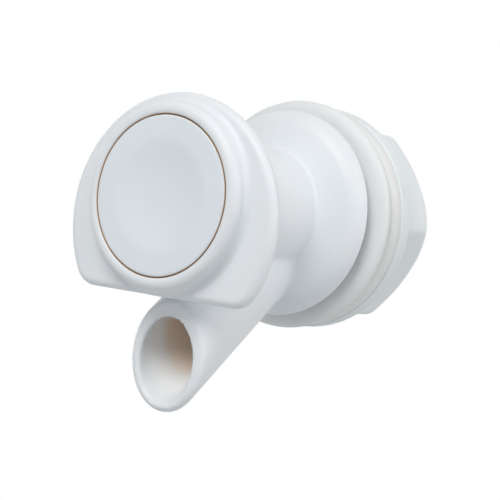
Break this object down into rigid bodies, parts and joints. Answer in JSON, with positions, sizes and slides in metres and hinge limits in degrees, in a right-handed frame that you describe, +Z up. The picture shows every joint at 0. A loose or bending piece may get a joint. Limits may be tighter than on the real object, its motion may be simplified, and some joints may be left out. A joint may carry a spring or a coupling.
{
  "type": "push-button drink tap",
  "caption": "Plastic push-button tap for a drink cooler's wall, with a sloping spout, gaskets and a hexagonal lock nut on a threaded shank",
  "frame": {"origin": "where the outer face of the vessel's wall meets the axis of its hole, which is the middle of the front gasket's rear face", "axes": "+Y along the shank from the button into the vessel, +Z up with the spout hanging towards -Z, +X to the right as seen from the button"},
  "size_m": [0.0516, 0.0835, 0.0682],
  "materials": {
    "body_plastic": "cool white moulded plastic, fine satin surface",
    "button_plastic": "cool white moulded plastic, satin dish",
    "nut_plastic": "cool white moulded plastic, satin",
    "stem_plastic": "natural moulded plastic",
    "gland_plastic": "natural moulded plastic",
    "gasket_rubber": "soft off-white rubber, matt",
    "seal_rubber": "tan rubber, matt",
    "o_ring_rubber": "black rubber",
    "spring_steel": "drawn stainless wire"
  },
  "bodies": {
    "tap": {"spigot_body": "body_plastic", "gland_ring": "gland_plastic", "stem_o_ring": "o_ring_rubber", "return_spring": "spring_steel", "front_gasket": "gasket_rubber"},
    "plunger": {"push_button": "button_plastic", "valve_stem": "stem_plastic", "valve_seal": "seal_rubber"},
    "gasket": {"rear_gasket": "gasket_rubber"},
    "nut": {"lock_nut": "nut_plastic"}
  },
  "joints": [
    {"name": "button_press", "type": "slide", "parent": "tap", "child": "plunger", "axis": [0, 1, 0], "range_m": [0, 0.005], "stiffness_N_per_m": 1000, "springref_m": -0.005, "deforming": ["return_spring"]},
    {"name": "nut_travel", "type": "slide", "parent": "tap", "child": "gasket", "axis": [0, 1, 0], "range_m": [0, 0.012]},
    {"name": "nut_turn", "type": "hinge", "parent": "gasket", "child": "nut", "pos_m": [0, 0, 0], "axis": [0, 1, 0], "range_deg": [0, 1440]}
  ],
  "couplings": [
    {"joint": "nut_travel", "follows": "nut_turn", "m_per_rad": 0.00047746}
  ]
}
